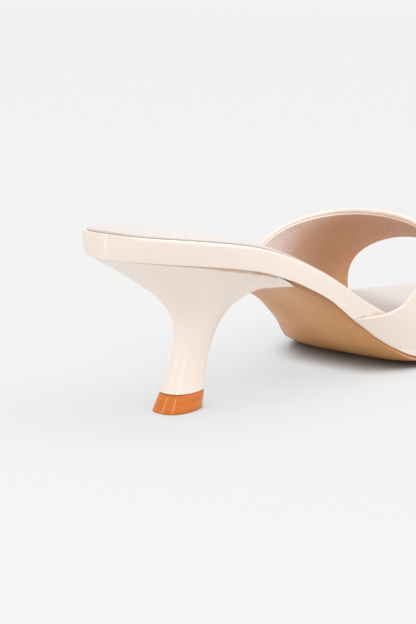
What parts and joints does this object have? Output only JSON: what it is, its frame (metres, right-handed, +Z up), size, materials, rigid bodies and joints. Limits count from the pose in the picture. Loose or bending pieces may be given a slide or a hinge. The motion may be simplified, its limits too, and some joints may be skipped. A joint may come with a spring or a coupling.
{
  "type": "heeled mule",
  "caption": "Backless open-toe mule with a sculpted kitten heel, a leather-wrapped footbed rim and one wide band over the forefoot; right shoe, empty, standing on its sole",
  "frame": {"origin": "centre of the bounding box on the floor the shoe stands on", "axes": "+X towards the toe, +Y towards the inner side of the foot, +Z up"},
  "size_m": [0.2442, 0.0826, 0.0646],
  "materials": {
    "tan_leather": "smooth waxed tan sole leather",
    "cream_leather": "smooth glossy cream leather",
    "pale_lining": "soft pale pinkish insole leather",
    "cream_heel": "smooth glossy cream leather drawn over the heel",
    "tan_top_piece": "polished orange-tan top piece"
  },
  "bodies": {
    "root": {"outsole": "tan_leather", "footbed": "cream_leather", "sock": "pale_lining", "heel": "cream_heel", "heel_tip": "tan_top_piece", "upper": "cream_leather"}
  },
  "joints": []
}
